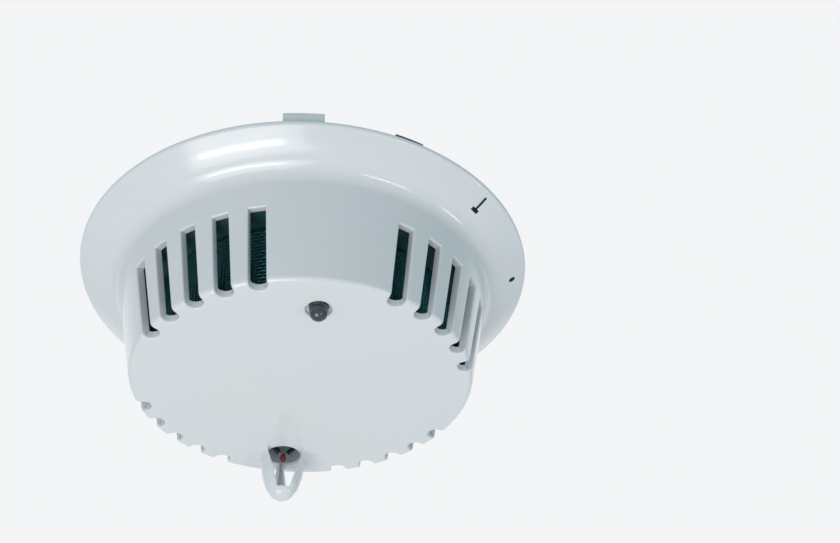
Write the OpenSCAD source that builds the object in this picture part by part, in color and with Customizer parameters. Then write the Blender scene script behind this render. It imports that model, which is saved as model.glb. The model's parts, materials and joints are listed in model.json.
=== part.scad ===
// Ceiling detector head on its mounting base: smoke-entry slots round the wall, a thermistor in a
// guard on the face, and a bayonet joint between the head and the base.
// The origin is the centre of the base's ceiling face; everything hangs below it, at negative Z.
// The status light is towards -Y and the thermistor guard towards +Y.

/* [Cover] */
// Outside radius of the flange
flange_r = 63.5; // [63:0.1:64.5]
// Depth of the flange's top edge below the ceiling
flange_drop = 4.1; // [4.1:0.1:4.3]
// Slope of the flange's underside, in degrees
flange_slope = 27; // [26:0.5:28]
// Depth of the flat face below the ceiling
face_depth = 41; // [40.5:0.1:42]
// Radius where the wall meets the face
face_r = 46; // [45.8:0.1:46.4]
// Draft angle of the wall, in degrees
wall_draft = 11.6; // [11:0.1:12]
// Thickness of the moulded shell
shell_t = 2.2; // [2:0.1:2.3]

/* [Slots] */
// Slot positions round the whole wall, used or not
slot_grid = 32; // [32:8:32]
// Width of one slot
slot_w = 4.5; // [4:0.1:4.8]
// Depth of the slots' square top end below the ceiling
slot_top = 20.3; // [20:0.1:24]
// Radius of the slots' rounded inner end on the face
slot_end_r = 42.4; // [42.2:0.1:43]

/* [Thermistor guard] */
// Distance of the guard from the centre of the face
guard_r = 36; // [35:0.5:36]
// How far the guard stands below the face
guard_h = 14.2; // [13.5:0.1:15]

/* [Status light] */
// Distance of the light from the centre of the face
light_r = 34.5; // [33.5:0.5:35]

/* [Bayonet] */
// Number of bayonet lugs
lug_count = 3; // [3:1:3]
// Inside radius of the base's bayonet ring
ring_r = 50.5; // [50.4:0.1:50.6]
// Turn of the head from locked to the lever's stop, in degrees
twist = 25; // [20:1:25]

/* [Base] */
// Radius of the base plate
base_r = 58.4; // [57.5:0.1:58.4]
// Thickness of the base plate
base_t = 2.4; // [2:0.1:2.4]
// Distance between the box-screw slots along X
box_slot_span = 86; // [84:0.5:88]
// Distance between the box-screw slots along Y
small_slot_span = 60; // [58:0.5:60]
// Length of each screw slot, end to end
screw_slot_len = 10; // [8:0.5:10]
// Width of each screw slot
screw_slot_w = 4.4; // [4:0.1:4.6]
// Radius of the wiring opening
wire_r = 10; // [9:0.5:10]

/* [Hidden] */
$fn = 96;

// Bearings, in degrees from +X
slots_a = -90;
light_a = -92;
guard_a = 90;
small = 0.3;          // usual gap between parts that move past each other
touch = 0.02;         // gap between parts that seat on each other

// Cover outline
rim_round = 1.6;
rim_z = -flange_drop - rim_round * tan((90 - flange_slope) / 2);
cove_round = 6;
face_round = 1.6;
crown = 0.6;          // height of the flange's crown over a straight cone
crown_round = 30;
slope_t = tan(flange_slope);
draft_t = tan(wall_draft);
inner_face_r = face_r - shell_t / cos(wall_draft);
inner_rim_z = rim_z + shell_t / cos(flange_slope);
floor_z = -face_depth + shell_t;
land_r = flange_r - (inner_rim_z + flange_drop) / slope_t;

// Levels of the parts inside, from the ceiling down
ring_bottom = -7.6;
ledge_top = -6.5;
lug_bottom = -6.2;
collar_top = -5.2;
back_top = -9.5;
back_t = 2;
board_top = -12;
board_t = 1.2;
board_bottom = board_top - board_t;
chassis_top = -17.9;
chassis_t = 1.5;
chassis_bottom = chassis_top - chassis_t;

// Bayonet
collar_r = 48;
collar_t = 2;
ledge_r = 48.4;
lug_r = 50.2;
lug_angle = 20;
ledge_angle = 28;
stop_angle = 4;
lug_first = 20;

// Opening in the skirt under the edge of the base plate, where the lever is pivoted
gap_a = -80;
gap_angle = 27;

// Contacts and terminals
terminal_a = [45, 135, 225, 315];
terminal_r = 30;
pad_in = 13;
pad_out = 18.5;
pad_t = 0.5;
pad_angle = 44;
strip_t = 0.5;
strip_w = 6;
contact_gap = 0.05;

// Lever on the base
lever_a = -60;        // bearing of the lever's pivot
lever_pivot_r = 56.5;
lever_pin_r = 1;
lever_eye_r = 2;
lever_in = 60.2;
lever_out = 61.6;
lever_low = -3.8;
lever_high = -2.3;
tab_a = -104;         // bearing of the tab's far side
tab_angle = 9.4;
tab_out = 62.4;
tab_top = -0.2;
keeper_a = -77;
keeper_angle = 7.5;
tooth_a = -100.5;
tooth_angle = 3;

// Screws that join the back plate to the cover
screw_a = [30, 150, 270];
screw_r = 42.5;
boss_r = 3.2;
boss_bottom = -17.5;
shank_r = 1.4;

// Status light's lens
lens_r = 2.4;
lens_drop = 0.8;      // from the face to the start of the lens's dome

// Chamber
screen_r = 41.3;
screen_t = 0.6;
vane_count = 20;
chamber_r = 29;
lid_z = -34.4;
optics_z = -25;
optics_r = 13.5;
emitter_a = 160;
receiver_a = 20;
optics_bore = 2.6;

// Thermistor
lead_x = 4.2;
lead_r = 0.3;
sleeve_r = 0.65;
bead_r = 0.85;
bead_z = -face_depth + 0.4;
bead_len = 2.8;
bend_z = -face_depth + 4;

// ---- helpers ----

function unit(v) = v / norm(v);
function turn(a) = a > 180 ? a - 360 : a < -180 ? a + 360 : a;

// Points that round the corner at b, between a and c, with radius r
function corner(a, b, c, r, steps) =
    r == 0 ? [b] :
    let (u = unit(a - b), v = unit(c - b), half = acos(u * v) / 2)
    let (o = b + unit(u + v) * r / sin(half), reach = r / tan(half))
    let (p = b + u * reach - o, q = b + v * reach - o)
    let (start = atan2(p.y, p.x), sweep = turn(atan2(q.y, q.x) - start))
    [for (i = [0:steps]) o + r * [cos(start + sweep * i / steps), sin(start + sweep * i / steps)]];

// An outline of [x, y, radius] points with its corners rounded
function rounded(pts, steps = 8) =
    [for (i = [0:len(pts) - 1])
        let (a = pts[(i + len(pts) - 1) % len(pts)], b = pts[i], c = pts[(i + 1) % len(pts)])
        each corner([a.x, a.y], [b.x, b.y], [c.x, c.y], b.z, steps)];

// Where the line of the wall meets the line of the flange, given the wall's radius at the face
// and the flange's height at its outer edge
function cove(wall_r, edge_z) =
    let (r = (wall_r + draft_t * (edge_z - flange_r * slope_t + face_depth)) / (1 - slope_t * draft_t))
    [r, edge_z - (flange_r - r) * slope_t];

module at(a, r = 0, z = 0) {
    rotate(a) translate([r, 0, z]) children();
}

// A level ring or sector of a ring, from z0 up to z1
module ring(r0, r1, z0, z1, a0 = 0, sweep = 360) {
    rotate(a0)
        rotate_extrude(angle = sweep)
            translate([r0, z0]) square([r1 - r0, z1 - z0]);
}

module disc(r, z0, z1) {
    translate([0, 0, z0]) cylinder(r = r, h = z1 - z0);
}

// A box centred in x and y, from z0 up to z1
module block(x, y, z0, z1) {
    translate([-x / 2, -y / 2, z0]) cube([x, y, z1 - z0]);
}

// A slot along x with round ends, from z0 up to z1
module screw_slot(z0, z1) {
    reach = (screw_slot_len - screw_slot_w) / 2;
    for (side = [-1, 1]) translate([side * reach, 0, 0]) disc(screw_slot_w / 2, z0, z1);
    block(2 * reach, screw_slot_w, z0, z1);
}

// A straight round rod between two points
module rod(p, q, r) {
    d = q - p;
    translate(p)
        rotate([0, acos(d.z / norm(d)), atan2(d.y, d.x)])
            cylinder(r = r, h = norm(d), $fn = 24);
}

// ---- base ----

module bayonet_ring() {
    ring(ring_r, ring_r + 2, ring_bottom, -base_t + touch);
    for (i = [0:lug_count - 1]) {
        first = lug_first + i * 360 / lug_count - (ledge_angle - lug_angle) / 2;
        ring(ledge_r, ring_r + 1, ring_bottom + 0.2, ledge_top, first, ledge_angle);
        // The stop overlaps the ledge's end a little, so that the two join
        ring(ledge_r - 0.1, ring_r + 1.2, ring_bottom + 0.1, -base_t + 2 * touch,
            first + ledge_angle - 0.5, stop_angle + 0.5);
    }
}

module base_plate() {
    color("whitesmoke") difference() {
        union() {
            disc(base_r, -base_t, 0);
            ring(base_r - 1.6, base_r, -4.6, -base_t + touch);
            bayonet_ring();
            ring(wire_r, wire_r + 1.6, -4.5, -base_t + touch);
            for (a = terminal_a) at(a, terminal_r) block(13, 12, -4.2, -base_t + touch);
            at(lever_a, lever_pivot_r) disc(lever_pin_r, -4, -base_t + touch);
        }
        disc(wire_r, -20, 1);
        ring(base_r - 3, base_r + 1, -6, -base_t, gap_a, gap_angle);
        for (a = [0, 180]) {
            at(a, box_slot_span / 2) screw_slot(-5, 1);
            rotate(90) at(a, small_slot_span / 2) screw_slot(-5, 1);
        }
        for (a = terminal_a) at(a, terminal_r + 2) disc(1.55, -5, 1);
        ring(55.6, base_r + 1, -5, -1.2, keeper_a - 0.4, keeper_angle + 0.8);
    }
}

// Spring strips: each is clamped at its terminal and bends down to the head's contact pad
module base_contacts() {
    tip_z = back_top + pad_t + contact_gap;
    foot_z = -4.2 - touch;
    color("goldenrod") for (a = terminal_a) rotate(a) difference() {
        translate([0, strip_w / 2, 0]) rotate([90, 0, 0]) linear_extrude(strip_w)
            polygon([
                [terminal_r + 6, foot_z], [terminal_r - 6, foot_z], [pad_out - 0.5, tip_z + strip_t],
                [pad_in + 2, tip_z + strip_t], [pad_in + 0.5, tip_z + 1.6], [pad_in, tip_z + 1.2],
                [pad_in + 1.6, tip_z], [pad_out - 0.3, tip_z],
                [terminal_r - 5.8, foot_z - strip_t], [terminal_r + 6, foot_z - strip_t]]);
        translate([terminal_r + 2, 0, 0]) disc(1.7, -6, -4);
    }
}

clamp_top = -4.2 - strip_t - 2 * touch;
clamp_t = 1;

module clamp_plates() {
    color("silver") for (a = terminal_a) at(a, terminal_r + 2) difference() {
        block(7.5, 8, clamp_top - clamp_t, clamp_top);
        disc(1.7, -7, -4);
    }
}

module terminal_screws() {
    head_top = clamp_top - clamp_t - touch;
    color("lightgray") for (a = terminal_a) at(a, terminal_r + 2) difference() {
        union() {
            disc(2.9, head_top - 2, head_top);
            disc(1.5, head_top - 0.1, -0.4);
        }
        for (t = [0, 90]) rotate(t) block(4, 0.8, head_top - 2.1, head_top - 1);
    }
}

// Steel strap that holds the lever's arm up, so that it can only swing inwards
module lever_keeper() {
    color("dimgray")
        ring(56, lever_out - 0.1, -2, -1.2 - touch, keeper_a, keeper_angle);
}

// ---- lever ----

module release_lever() {
    pivot = lever_pivot_r * [cos(lever_a), sin(lever_a)];
    mid_r = (lever_in + lever_out) / 2;
    arm_end = keeper_a + keeper_angle + 4.5;
    link = mid_r * [cos(arm_end), sin(arm_end)] - pivot;
    eye_high = -base_t - small;
    color("whitesmoke") difference() {
        union() {
            ring(lever_in, lever_out, lever_low, lever_high, tab_a, arm_end - tab_a);
            ring(lever_in + 0.1, tab_out, lever_low, tab_top, tab_a - 0.3, tab_angle + 0.3);
            ring(lever_in + 0.5, lever_out - 0.1, -4.6, lever_low + touch, tooth_a, tooth_angle);
            translate([pivot.x, pivot.y, 0]) {
                disc(lever_eye_r, lever_low, eye_high);
                rotate(atan2(link.y, link.x)) translate([lever_eye_r - 0.4, -0.7, lever_low + 0.1])
                    cube([norm(link) - lever_eye_r + 0.4, 1.4, eye_high - lever_low - 0.2]);
            }
        }
        translate([pivot.x, pivot.y, 0]) disc(lever_pin_r + 0.05, -6, 0);
    }
}

// ---- cover ----

// The shell's section: the outside from the axis to the rim, then the inside back to the axis
module cover_section() {
    outer = cove(face_r, rim_z);
    crown_mid = ([flange_r, rim_z] + outer) / 2 + crown * [sin(flange_slope), -cos(flange_slope)];
    inner = cove(inner_face_r, inner_rim_z);
    polygon(rounded([
        [0, -face_depth, 0],
        [face_r, -face_depth, face_round],
        [outer.x, outer.y, cove_round],
        [crown_mid.x, crown_mid.y, crown_round],
        [flange_r, rim_z, rim_round - 0.01],
        [flange_r, -flange_drop, 0],
        [land_r, -flange_drop, 0],
        [inner.x, inner.y, cove_round - shell_t],
        [inner_face_r + shell_t * draft_t, floor_z, 1],
        [0, floor_z, 0]]));
}

// One air slot, cut straight up from the face and open through the wall
module air_slot() {
    translate([0, 0, -face_depth - 1]) linear_extrude(face_depth + 1 - slot_top) {
        translate([slot_end_r + slot_w / 2, 0]) circle(d = slot_w);
        translate([slot_end_r + slot_w / 2, -slot_w / 2]) square([12, slot_w]);
    }
}

// Five slots, then a gap three positions wide, four times round
module air_slots() {
    for (k = [0:slot_grid - 1])
        if (k % 8 >= 2 && k % 8 <= 6) rotate(slots_a + k * 360 / slot_grid) air_slot();
}

// Tapering cage round the thermistor, drawn with its axis on Z and the face at z = 0
module guard_body() {
    rotate_extrude() polygon(rounded([
        [0, 0.5, 0], [8.6, 0.5, 0], [8.6, 0, 0], [6.5, -0.2, 1.6], [5.9, -guard_h * 0.49, 8],
        [4.6, -guard_h * 0.77, 4], [2.4, -guard_h, 2.4], [0, -guard_h, 0]]));
}

module guard_hollow() {
    rotate_extrude() polygon(rounded([
        [0, 4, 0], [5, 4, 0], [5, -1, 2], [4.3, -guard_h * 0.49, 8],
        [2.7, -guard_h * 0.86, 1.5], [0, -guard_h * 0.86, 0]]));
}

// A window through one side, wide at the face and narrow near the tip
module guard_window(half_top, half_low) {
    rotate([90, 0, 0]) linear_extrude(12)
        polygon([[-half_top, -0.02], [-half_low, -guard_h * 0.84],
            [half_low, -guard_h * 0.84], [half_top, -0.02]]);
}

module screw_boss() {
    disc(boss_r, boss_bottom, back_top - back_t - touch);
    translate([0, -1.5, boss_bottom])
        cube([face_r + 3.2 - screw_r, 3, back_top - back_t - touch - boss_bottom]);
}

// T-shaped slot through the flange that marks the locked position
module lock_mark() {
    translate([57.4, -1.4, -12]) cube([1.3, 2.8, 12]);
    translate([58.5, -0.6, -12]) cube([3.4, 1.2, 12]);
}

module outer_cover() {
    color("gainsboro") difference() {
        union() {
            difference() {
                rotate_extrude() cover_section();
                air_slots();
                at(guard_a, guard_r) disc(5, -face_depth - 1, floor_z + 1);
            }
            at(guard_a, guard_r, -face_depth) difference() {
                guard_body();
                guard_hollow();
                // The first window looks at the centre of the face
                rotate(-90) guard_window(5.2, 1.75);
                for (a = [50, 130]) rotate(a) guard_window(3.3, 1.1);
            }
            // Tube that leads the thermistor's wires up, cut back beside the insect screen
            intersection() {
                at(guard_a, guard_r) ring(5, 6.2, floor_z - 0.1, floor_z + 4.5);
                disc(screen_r - small / 2, -face_depth, chassis_bottom);
            }
            for (a = screw_a) at(a, screw_r) screw_boss();
        }
        for (a = screw_a) at(a, screw_r) disc(shank_r + touch, boss_bottom + 1, -5);
        at(light_a, light_r) disc(2.6, -face_depth - 1, floor_z + 1);
        at(light_a, light_r) disc(3.2, -face_depth - 1, -face_depth + 0.5);
        rotate(slots_a + 41.9) lock_mark();
        at(slots_a + 74.4, 59.4) disc(0.9, -9, -6.6);
        // Recess that the lever's tooth runs in while the head turns
        ring(58.4, 62, -5, -3, tooth_a - 1, tooth_angle + twist + 2);
    }
}

// Fine mesh sleeve behind the slots, here its plain envelope
module insect_screen() {
    color("darkslategray") ring(screen_r, screen_r + screen_t, floor_z + 0.2, chassis_bottom - 0.1);
}

module light_pipe() {
    color("lightblue") at(light_a, light_r) {
        disc(2, -38, -17.8);
        disc(2.9, floor_z + 0.1, -37.7);
        disc(lens_r, -face_depth - lens_drop, floor_z + 0.2);
        translate([0, 0, -face_depth - lens_drop]) sphere(r = lens_r, $fn = 64);
    }
}

// ---- back of the head ----

module back_plate() {
    color("gainsboro") difference() {
        union() {
            disc(49.3, back_top - back_t, back_top);
            ring(collar_r - collar_t, collar_r, back_top - touch, collar_top);
            for (i = [0:lug_count - 1])
                ring(collar_r - 1, lug_r, lug_bottom, collar_top,
                    lug_first + i * 360 / lug_count, lug_angle);
        }
        for (a = screw_a) at(a, screw_r) disc(shank_r + 0.2, -20, 0);
        for (a = terminal_a) at(a, (pad_in + pad_out) / 2) disc(1.25, -20, 0);
    }
}

module back_plate_screws() {
    head_low = back_top + touch;
    color("silver") for (a = screw_a) at(a, screw_r) difference() {
        union() {
            disc(2.7, head_low, head_low + 1.6);
            disc(shank_r, boss_bottom + 1.2, head_low + 0.1);
        }
        for (t = [0, 90]) rotate(t) block(3.6, 0.8, head_low + 0.8, head_low + 2);
    }
}

// Flat brass sectors that the base's spring strips slide on, each with a pin down to the board
module contact_pads() {
    color("gold") for (a = terminal_a) {
        ring(pad_in, pad_out, back_top + touch, back_top + pad_t, a - pad_angle / 2, pad_angle);
        at(a, (pad_in + pad_out) / 2) disc(1.2, board_top + touch, back_top + 0.1);
    }
}

// ---- electronics ----

module circuit_board() {
    color("darkgreen") disc(38.8, board_bottom, board_top);
}

module status_led() {
    color("tomato") at(light_a, light_r) {
        disc(1.5, board_bottom - 3, board_bottom - touch);
        disc(1.9, board_bottom - 1, board_bottom - touch);
        translate([0, 0, board_bottom - 3]) sphere(r = 1.5, $fn = 48);
    }
}

module shield_can() {
    low = board_bottom - 3.2;
    color("silver") at(receiver_a, 28.5) difference() {
        block(14, 12, low, board_bottom - touch);
        block(13.2, 11.2, low + 0.4, board_bottom);
    }
}

module relay() {
    color("royalblue") at(270, 17) block(14, 9, board_bottom - 4.2, board_bottom - touch);
}

module capacitors() {
    color("slategray") for (a = [205, 228]) at(a, 28) {
        disc(2.6, board_bottom - 4.3, board_bottom - 0.6);
        block(5.4, 5.4, board_bottom - 0.7, board_bottom - touch);
    }
}

module ic_chips() {
    body_low = board_bottom - 1.6;
    color("black") for (a = [90, 130]) at(a, 20) {
        block(5, 9, body_low, board_bottom - 0.2);
        for (side = [-1, 1]) for (i = [-3:3])
            translate([side * 2.9, i * 1.27, 0])
                block(1, 0.4, board_bottom - 0.7, board_bottom - touch);
    }
}

module resistors() {
    color("dimgray") for (i = [0:7])
        at(296 + i * 6, 31) block(1.6, 0.8, board_bottom - 0.5, board_bottom - touch);
}

// Glass reed capsule for the magnet test, with its end wires bent up to the board
module reed_switch() {
    z = board_bottom - 2;
    color("lightcyan") at(180, 26) {
        rod([0, -6, z], [0, 6, z], 1.1);
        for (side = [-1, 1]) {
            rod([0, side * 5.9, z], [0, side * 8, z], lead_r);
            rod([0, side * 7.7, z - lead_r], [0, side * 7.7, board_bottom - touch], lead_r);
        }
    }
}

// ---- heat sensor ----

// The two wires run straight down from the board, then lean in to the bead
function lead_top(side) = [side * lead_x, guard_r, board_bottom - touch];
function lead_bend(side) = [side * lead_x, guard_r, bend_z];
function lead_end(side) = [side * 0.45, guard_r, bead_z - 0.4];

module thermistor_leads() {
    color("silver") for (side = [-1, 1]) {
        rod(lead_top(side), lead_bend(side), lead_r);
        translate(lead_bend(side)) sphere(r = lead_r, $fn = 24);
        rod(lead_bend(side), lead_end(side), lead_r);
    }
}

module thermistor_sleeves() {
    color("darkslategray") for (side = [-1, 1]) {
        lean = unit(lead_end(side) - lead_bend(side));
        difference() {
            union() {
                rod(lead_top(side) - [0, 0, 0.5], lead_bend(side), sleeve_r);
                translate(lead_bend(side)) sphere(r = sleeve_r, $fn = 24);
                rod(lead_bend(side), lead_end(side) - lean, sleeve_r);
            }
            rod(lead_top(side) + [0, 0, 1], lead_bend(side), lead_r + touch);
            translate(lead_bend(side)) sphere(r = lead_r + touch, $fn = 24);
            rod(lead_bend(side), lead_end(side), lead_r + touch);
        }
    }
}

module thermistor_bead() {
    color("firebrick") translate([0, guard_r, 0]) {
        disc(bead_r, bead_z - bead_len + bead_r, bead_z - bead_r);
        for (z = [bead_z - bead_len + bead_r, bead_z - bead_r])
            translate([0, 0, z]) sphere(r = bead_r, $fn = 48);
    }
}

// ---- sensing chamber ----

module chassis() {
    color([0.13, 0.14, 0.15]) difference() {
        union() {
            disc(47.2, chassis_bottom, chassis_top);
            for (a = [0, 60, 120, 190, 240, 320])
                at(a, 34) disc(2, chassis_top - touch, board_bottom - touch);
        }
        at(light_a, light_r) disc(2.9, -30, 0);
        for (side = [-1, 1]) translate([side * lead_x, guard_r, 0]) disc(1, -30, 0);
        for (a = [emitter_a, receiver_a]) at(a, optics_r + 6.5) disc(2, -30, 0);
    }
}

// Black block with one bored barrel for the emitter and one for the receiver
module optics_holder() {
    top = chassis_bottom - touch;
    color([0.1, 0.1, 0.11]) difference() {
        union() {
            disc(21.5, top - 1, top);
            for (a = [emitter_a, receiver_a]) at(a, optics_r + 1) block(12, 8.4, optics_z - 4.2, top);
        }
        for (a = [emitter_a, receiver_a]) at(a, 0, optics_z) {
            rotate([0, 90, 0]) cylinder(r = optics_bore, h = 30);
            translate([optics_r + 6.5, 0, 0]) disc(1.9, 0, 20);
        }
    }
}

module emitter_led() {
    color("aliceblue") at(emitter_a, optics_r, optics_z) {
        rotate([0, 90, 0]) cylinder(r = optics_bore - 0.1, h = 5);
        sphere(r = optics_bore - 0.1, $fn = 48);
        for (side = [-1, 1]) {
            rod([4.9, side * 0.9, 0], [6.6, side * 0.9, 0], 0.3);
            rod([6.3, side * 0.9, -0.3], [6.3, side * 0.9, board_bottom - touch - optics_z], 0.3);
        }
    }
}

module photodiode() {
    color([0.2, 0.12, 0.25]) at(receiver_a, optics_r, optics_z) {
        translate([4, 0, 0]) block(1.6, 3.4, -1.7, 1.7);
        for (side = [-1, 1]) {
            rod([4.7, side * 0.9, 0], [6.6, side * 0.9, 0], 0.3);
            rod([6.3, side * 0.9, -0.3], [6.3, side * 0.9, board_bottom - touch - optics_z], 0.3);
        }
    }
}

module receiver_lens() {
    color("powderblue") at(receiver_a, optics_r, optics_z) intersection() {
        translate([2.2, 0, 0]) sphere(r = 4.4, $fn = 64);
        rotate([0, 90, 0]) translate([0, 0, -2]) cylinder(r = optics_bore - 0.05, h = 3);
    }
}

// Lid with a ring of bent vanes that let smoke in and keep light out
module labyrinth() {
    vane_top = chassis_bottom - 1.2;
    color([0.1, 0.1, 0.11]) {
        disc(chamber_r + 0.5, lid_z - 1.6, lid_z);
        for (i = [0:vane_count - 1]) rotate(i * 360 / vane_count)
            translate([0, 0, lid_z - touch]) linear_extrude(vane_top - lid_z)
                polygon([[23, -1.6], [26.4, 1.8], [chamber_r, -0.4], [chamber_r, 0.6],
                    [26.4, 3], [22.3, -1]]);
    }
}

base_plate();
base_contacts();
terminal_screws();
clamp_plates();
lever_keeper();
release_lever();
outer_cover();
insect_screen();
light_pipe();
back_plate();
back_plate_screws();
contact_pads();
circuit_board();
status_led();
thermistor_bead();
thermistor_leads();
thermistor_sleeves();
chassis();
optics_holder();
labyrinth();
emitter_led();
photodiode();
receiver_lens();
shield_can();
relay();
capacitors();
ic_chips();
resistors();
reed_switch();
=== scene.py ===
"""Looks of the ceiling detector: head, base, release lever, and the studio round them."""

import json
import math

import bmesh
import bpy
from mathutils import Matrix, Vector


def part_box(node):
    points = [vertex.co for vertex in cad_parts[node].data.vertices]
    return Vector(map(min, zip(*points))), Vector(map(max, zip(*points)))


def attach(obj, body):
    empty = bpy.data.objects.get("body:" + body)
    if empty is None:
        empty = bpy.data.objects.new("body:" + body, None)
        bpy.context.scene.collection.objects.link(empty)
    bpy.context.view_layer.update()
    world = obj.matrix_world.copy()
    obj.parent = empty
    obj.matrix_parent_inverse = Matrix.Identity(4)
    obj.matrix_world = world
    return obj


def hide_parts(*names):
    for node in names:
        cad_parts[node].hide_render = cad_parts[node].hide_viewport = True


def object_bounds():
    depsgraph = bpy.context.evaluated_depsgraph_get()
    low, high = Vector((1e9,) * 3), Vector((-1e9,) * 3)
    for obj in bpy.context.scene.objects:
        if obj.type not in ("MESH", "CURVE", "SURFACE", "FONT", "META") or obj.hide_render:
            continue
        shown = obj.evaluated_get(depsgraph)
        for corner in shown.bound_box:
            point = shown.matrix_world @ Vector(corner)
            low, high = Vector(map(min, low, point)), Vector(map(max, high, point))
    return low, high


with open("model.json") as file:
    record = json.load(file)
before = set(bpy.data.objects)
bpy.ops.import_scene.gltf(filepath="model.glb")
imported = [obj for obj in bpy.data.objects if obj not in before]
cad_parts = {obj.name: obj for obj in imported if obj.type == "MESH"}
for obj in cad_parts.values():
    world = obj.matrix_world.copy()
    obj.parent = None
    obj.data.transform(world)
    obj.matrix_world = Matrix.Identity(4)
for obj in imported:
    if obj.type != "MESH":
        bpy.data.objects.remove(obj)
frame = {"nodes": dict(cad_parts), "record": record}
cad_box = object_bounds()
scene = bpy.context.scene

MM = 0.001

# ---------------------------------------------------------------------------
# The cover's sizes, in millimetres: from the frame where it states them
# ---------------------------------------------------------------------------

FLANGE_R = min(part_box("outer_cover")[1].xy) / MM
FLANGE_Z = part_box("outer_cover")[1].z / MM
FLANGE_SLOPE = math.radians(27)
FACE_Z = -41.0
FACE_R = 46.0
FLAT_R = 40.0
WALL_DRAFT = math.radians(11.6)
SHELL = 2.2
RIM_ROUND = 1.6
RIM_CORNER = RIM_ROUND - 0.5
RIM_EDGE = 0.27
COVE_ROUND = 6.0
FACE_ROUND = 1.6
CROWN = 0.6
CROWN_ROUND = 30.0

SLOT_GRID = 32
SLOT_W = 4.5
SLOT_TOP_Z = -20.3
SLOT_END_R = 42.4
SLOT_SOFT = 0.45
SLOTS_PER_CYCLE = 8
CUT_IN_CYCLE = range(2, 7)

LIGHT_AT = (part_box("light_pipe")[0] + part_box("light_pipe")[1]) / 2 / MM
GUARD_AT = (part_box("thermistor_bead")[0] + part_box("thermistor_bead")[1]) / 2 / MM
GUARD_H = FACE_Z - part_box("outer_cover")[0].z / MM

LEAST_ARC_STEPS = 6
ON_AXIS = 1e-6


# ---------------------------------------------------------------------------
# Outlines
# ---------------------------------------------------------------------------

def rounded(points, step=math.radians(9)):
    """A path through (x, y, radius) points with each inner corner turned into an arc."""
    path = [Vector(points[0][:2])]
    for before, here, after in zip(points, points[1:], points[2:]):
        corner, radius = Vector(here[:2]), here[2]
        to_a = (Vector(before[:2]) - corner).normalized()
        to_b = (Vector(after[:2]) - corner).normalized()
        if radius == 0:
            path.append(corner)
            continue
        half = to_a.angle(to_b) / 2
        centre = corner + (to_a + to_b).normalized() * radius / math.sin(half)
        start = corner + to_a * radius / math.tan(half) - centre
        end = corner + to_b * radius / math.tan(half) - centre
        turn = start.angle_signed(end)
        count = max(LEAST_ARC_STEPS, round(abs(turn) / step))
        for i in range(count + 1):
            path.append(centre + Matrix.Rotation(-turn * i / count, 2) @ start)
    path.append(Vector(points[-1][:2]))
    return path


class Path:
    """A polyline that can be read by its length or by its first coordinate."""

    def __init__(self, points):
        self.points = points
        self.lengths = [0.0]
        for a, b in zip(points, points[1:]):
            self.lengths.append(self.lengths[-1] + (b - a).length)

    def at(self, length):
        """The point at that length, and the unit normal on its left."""
        for i in range(1, len(self.points)):
            if length <= self.lengths[i] or i == len(self.points) - 1:
                span = self.lengths[i] - self.lengths[i - 1]
                t = (length - self.lengths[i - 1]) / span
                along = (self.points[i] - self.points[i - 1]).normalized()
                return self.points[i - 1].lerp(self.points[i], t), Vector((-along.y, along.x))

    def length_where(self, axis, value):
        """The first length at which the coordinate passes value."""
        for i in range(1, len(self.points)):
            a, b = self.points[i - 1][axis], self.points[i][axis]
            if min(a, b) <= value <= max(a, b) and a != b:
                span = self.lengths[i] - self.lengths[i - 1]
                return self.lengths[i - 1] + (value - a) / (b - a) * span
        raise ValueError(f"the path never reaches {value}")


def cover_outline():
    """The cover's outside in section, from the flat face out to the inner edge of the rim."""
    slope, draft = math.tan(FLANGE_SLOPE), math.tan(WALL_DRAFT)
    rim_z = FLANGE_Z - RIM_ROUND * math.tan((math.pi / 2 - FLANGE_SLOPE) / 2)
    cove_r = (FACE_R + draft * (rim_z - FLANGE_R * slope - FACE_Z)) / (1 - slope * draft)
    cove_z = rim_z - (FLANGE_R - cove_r) * slope
    crown_r = (FLANGE_R + cove_r) / 2 + CROWN * math.sin(FLANGE_SLOPE)
    crown_z = (rim_z + cove_z) / 2 - CROWN * math.cos(FLANGE_SLOPE)
    land_r = FLANGE_R - (rim_z + SHELL / math.cos(FLANGE_SLOPE) - FLANGE_Z) / slope
    return rounded([
        (FLAT_R, FACE_Z, 0),
        (FACE_R, FACE_Z, FACE_ROUND),
        (cove_r, cove_z, COVE_ROUND),
        (crown_r, crown_z, CROWN_ROUND),
        (FLANGE_R, rim_z, RIM_CORNER),
        (FLANGE_R, FLANGE_Z, RIM_EDGE),
        (land_r, FLANGE_Z, 0)])


# ---------------------------------------------------------------------------
# Mesh helpers
# ---------------------------------------------------------------------------

def new_object(name, bm, smooth_angle=35):
    """Turns a bmesh in millimetres into a scene object in metres, shaded smooth below that angle."""
    bmesh.ops.recalc_face_normals(bm, faces=bm.faces)
    if bm.calc_volume(signed=True) < 0:
        bmesh.ops.reverse_faces(bm, faces=bm.faces)
    bmesh.ops.scale(bm, vec=(MM, MM, MM), verts=bm.verts)
    mesh = bpy.data.meshes.new(name)
    bm.to_mesh(mesh)
    bm.free()
    mesh.polygons.foreach_set("use_smooth", [True] * len(mesh.polygons))
    mesh.set_sharp_from_angle(angle=math.radians(smooth_angle))
    obj = bpy.data.objects.new(name, mesh)
    scene.collection.objects.link(obj)
    return obj


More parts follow.
